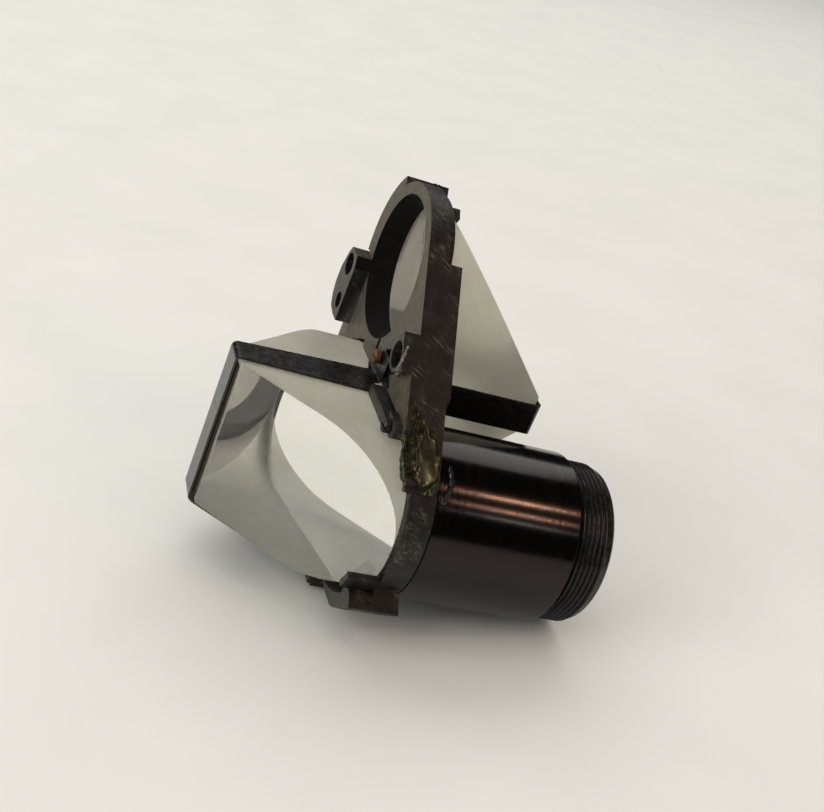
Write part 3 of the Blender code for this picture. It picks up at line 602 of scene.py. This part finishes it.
def film(name, corners, place, thick, seed, steps=110):
    """A skin of set lacquer over a surface, inside the outline of the corners (u, v).

    place(u, v, height) gives its points, in mm. It is highest at its folds and crinkled along its low-v edge.
    """
    us, vs = [c[0] for c in corners], [c[1] for c in corners]
    body = bmesh.new()
    rows = []
    for i in range(steps + 1):
        u = min(us) + (max(us) - min(us)) * i / steps
        row = []
        for k in range(steps + 1):
            v = min(vs) + (max(vs) - min(vs)) * k / steps
            inside = 9.0
            for (ax, ay), (bx, by) in zip(corners, corners[1:] + corners[:1]):
                length = math.hypot(bx - ax, by - ay)
                inside = min(inside, ((bx - ax) * (v - ay) - (by - ay) * (u - ax)) / length)
            where = Vector((u, v, seed))
            inside += 0.55 * noise.noise(where * 0.8)
            cover = max(0.0, min(1.0, inside / FADE))
            bare = cover <= 0
            cover = cover * cover * (3 - 2 * cover)
            folds = noise.noise(where * 0.30 + Vector((3, 1, 0)))
            edge = max(0.0, 1 - v / 2.6) * noise.noise(where * 1.1)
            rise = thick * (0.7 + 0.5 * folds + 0.8 * edge)
            row.append(body.verts.new(at(*place(u, v, cover * max(rise, 0.1) - SKIN_DEPTH))))
            row[-1].tag = bare
        rows.append(row)
    for low, high in zip(rows, rows[1:]):
        for a, b, c, d in zip(low, high, high[1:], low[1:]):
            if not (a.tag and b.tag and c.tag and d.tag):
                body.faces.new((a, b, c, d))
    bmesh.ops.delete(body, geom=[v for v in body.verts if not v.link_faces], context="VERTS")
    bmesh.ops.recalc_face_normals(body, faces=body.faces)
    middle_u, middle_v = (min(us) + max(us)) / 2, (min(vs) + max(vs)) / 2
    out = at(*place(middle_u, middle_v, 1)) - at(*place(middle_u, middle_v, 0))
    if sum(face.normal.dot(out) for face in body.faces) < 0:
        bmesh.ops.reverse_faces(body, faces=body.faces)
    back = bmesh.ops.extrude_face_region(body, geom=body.faces[:])
    moved = [v for v in back["geom"] if isinstance(v, bmesh.types.BMVert)]
    bmesh.ops.translate(body, verts=moved, vec=-out.normalized() * SHEET_THICKNESS * MM)
    bmesh.ops.recalc_face_normals(body, faces=body.faces)
    for face in body.faces:
        face.smooth = True
    mesh = bpy.data.meshes.new(name)
    body.to_mesh(mesh)
    body.free()
    mesh.materials.append(LACQUER)
    added(name, mesh)


WALL_TOP = 24.466  # where the diagonal wall crosses the optical frame's Y axis


def on_wall(u, v, height):
    """u mm out along X down the diagonal wall, v mm back along Z, height mm off it."""
    lift = height / math.sqrt(2)
    return -u - lift, WALL_TOP - u + lift, v


WALL_FILM = [(0.2, -1.0), (10.8, -1.0), (12.9, 1.5), (13.2, 4.6), (11.5, 6.4), (6.5, 6.4), (3.6, 3.6)]
EDGE_RUN = [
    (-3.4, 20.6, -0.9, 0.3),
    (-6.4, 17.6, -0.9, 0.5),
    (-8.8, 15.2, -0.8, 0.7),
    (-11.0, 12.8, -0.2, 0.9),
]
TUBE_RUN = [
    (-8.4, 14.8, 8.6, 0.45),
    (-10.2, 13.6, 8.9, 0.6),
    (-11.6, 12.3, 8.8, 0.55),
    (-13.2, 10.6, 7.6, 0.5),
]
BOSS_RUN = [
    (3.6, 30.6, -3.0, 0.3),
    (3.4, 28.0, -3.1, 0.38),
    (4.0, 25.6, -2.8, 0.5),
    (5.2, 24.3, -2.0, 0.55),
]

film("lacquer_on_wall", WALL_FILM, on_wall, thick=0.42, seed=1.7)
drops("lacquer_on_edge", run_between(EDGE_RUN, 20), LACQUER, seed=2.2)
drops("lacquer_at_tube", run_between(TUBE_RUN, 16), STRAP, crinkle=0.22, seed=7.3)
drops("glue_on_boss", run_between(BOSS_RUN, 12), CLEAR_GLUE, fineness=0.1, crinkle=0.15, seed=3.1)

# Table

PAPER = new_material("table_paper", (0.80, 0.78, 0.72), 0.75)
TABLE_HALF = 6
broad = PAPER.node_tree.nodes.new("ShaderNodeTexNoise")
place = PAPER.node_tree.nodes.new("ShaderNodeTexCoord")
broad.inputs["Scale"].default_value = 28
broad.inputs["Detail"].default_value = 6
PAPER.node_tree.links.new(place.outputs["Object"], broad.inputs["Vector"])
paper_colour = [(0.35, (0.775, 0.768, 0.728)), (0.65, (0.81, 0.80, 0.755))]
feed(PAPER, "Base Color", ramp(PAPER, broad.outputs["Fac"], paper_colour))
table_mesh = bpy.data.meshes.new("table_top")
table_corners = [(x * TABLE_HALF, y * TABLE_HALF, 0) for x, y in ((-1, -1), (1, -1), (1, 1), (-1, 1))]
table_mesh.from_pydata(table_corners, [], [(0, 1, 2, 3)])
table_mesh.materials.append(PAPER)
table_top = bpy.data.objects.new("table_top", table_mesh)
bpy.context.scene.collection.objects.link(table_top)

# Light


def area_light(name, point, aim, size, power, colour, height=None):
    """A rectangular lamp at point, turned to aim, size wide and height high in metres."""
    light = bpy.data.lights.new(name, "AREA")
    light.shape = "RECTANGLE"
    light.size = size
    light.size_y = height or size
    light.energy = power
    light.color = colour
    obj = bpy.data.objects.new(name, light)
    bpy.context.scene.collection.objects.link(obj)
    obj.location = point
    obj.rotation_mode = "QUATERNION"
    obj.rotation_quaternion = (Vector(aim) - Vector(point)).to_track_quat("-Z", "Y")
    obj.visible_transmission = False


MIDDLE = Vector((0.0, 0.0, 0.03))
area_light("soft_back", (0.05, 0.85, 1.0), MIDDLE, 1.9, 8.0, (1.0, 0.99, 0.96), height=0.8)
area_light("soft_left", (-0.95, -0.30, 0.55), MIDDLE, 0.8, 6.0, (1.0, 0.985, 0.95))

# Small lamps, each placed so that the tube mirrors it at one point: name, point, way, power, colour
LAMP_DISTANCE = 0.7
LAMP_SIZE = 0.03
for name, streak, way, power, colour in (
    ("lamp_upper", (-11.21, 12.58, 21.81), (0.574, -0.339, 0.745), 0.25, (1.0, 0.60, 0.43)),
    ("lamp_lower", (-12.77, 10.99, 21.99), (0.557, -0.550, 0.622), 0.16, (1.0, 0.58, 0.44)),
    ("lamp_dim", (-13.71, 9.8, 22.21), (0.54, -0.671, 0.508), 0.035, (1.0, 1.0, 1.0)),
):
    spot = at(*streak)
    area_light(name, spot + Vector(way) * LAMP_DISTANCE, spot, LAMP_SIZE, power, colour)

# A sky that fades from dim at the horizon to bright overhead, and isn't mirrored in the pieces
world = bpy.data.worlds.new("studio")
bpy.context.scene.world = world
world.use_nodes = True
sky = world.node_tree
background = sky.nodes["Background"]
direction = sky.nodes.new("ShaderNodeTexCoord")
split = sky.nodes.new("ShaderNodeSeparateXYZ")
fade = sky.nodes.new("ShaderNodeValToRGB")
sky.links.new(direction.outputs["Generated"], split.inputs["Vector"])
sky.links.new(split.outputs["Z"], fade.inputs["Fac"])
stops = fade.color_ramp.elements
stops[0].position, stops[0].color = 0.0, (0.16, 0.157, 0.15, 1)
stops[1].position, stops[1].color = 0.9, (1.0, 0.99, 0.96, 1)
sky.links.new(fade.outputs["Color"], background.inputs["Color"])
background.inputs["Strength"].default_value = 0.70
world.cycles_visibility.glossy = False

# Camera, placed and turned in the optical frame

CAMERA_POINT = (-189.14, 110.94, -80.80)
CAMERA_RIGHT = Vector((-0.2218, 0.3561, 0.9078))
CAMERA_AHEAD = Vector((0.8422, -0.3992, 0.3624))
camera_data = bpy.data.cameras.new("camera")
camera_data.sensor_fit = "HORIZONTAL"
camera_data.sensor_width = 36
camera_data.lens = 54.61
camera_data.clip_start = 0.01
camera_data.clip_end = 50
camera = bpy.data.objects.new("camera", camera_data)
bpy.context.scene.collection.objects.link(camera)
right = CAMERA_RIGHT.normalized()
ahead = CAMERA_AHEAD.normalized()
up = right.cross(ahead).normalized()
right = ahead.cross(up)
axes = Matrix((right, up, -ahead)).transposed()
turn = (TO_ROW.to_3x3() @ axes).to_4x4()
camera.matrix_world = Matrix.Translation(at(*CAMERA_POINT)) @ turn
bpy.context.scene.camera = camera
bpy.context.scene.view_settings.view_transform = "Standard"
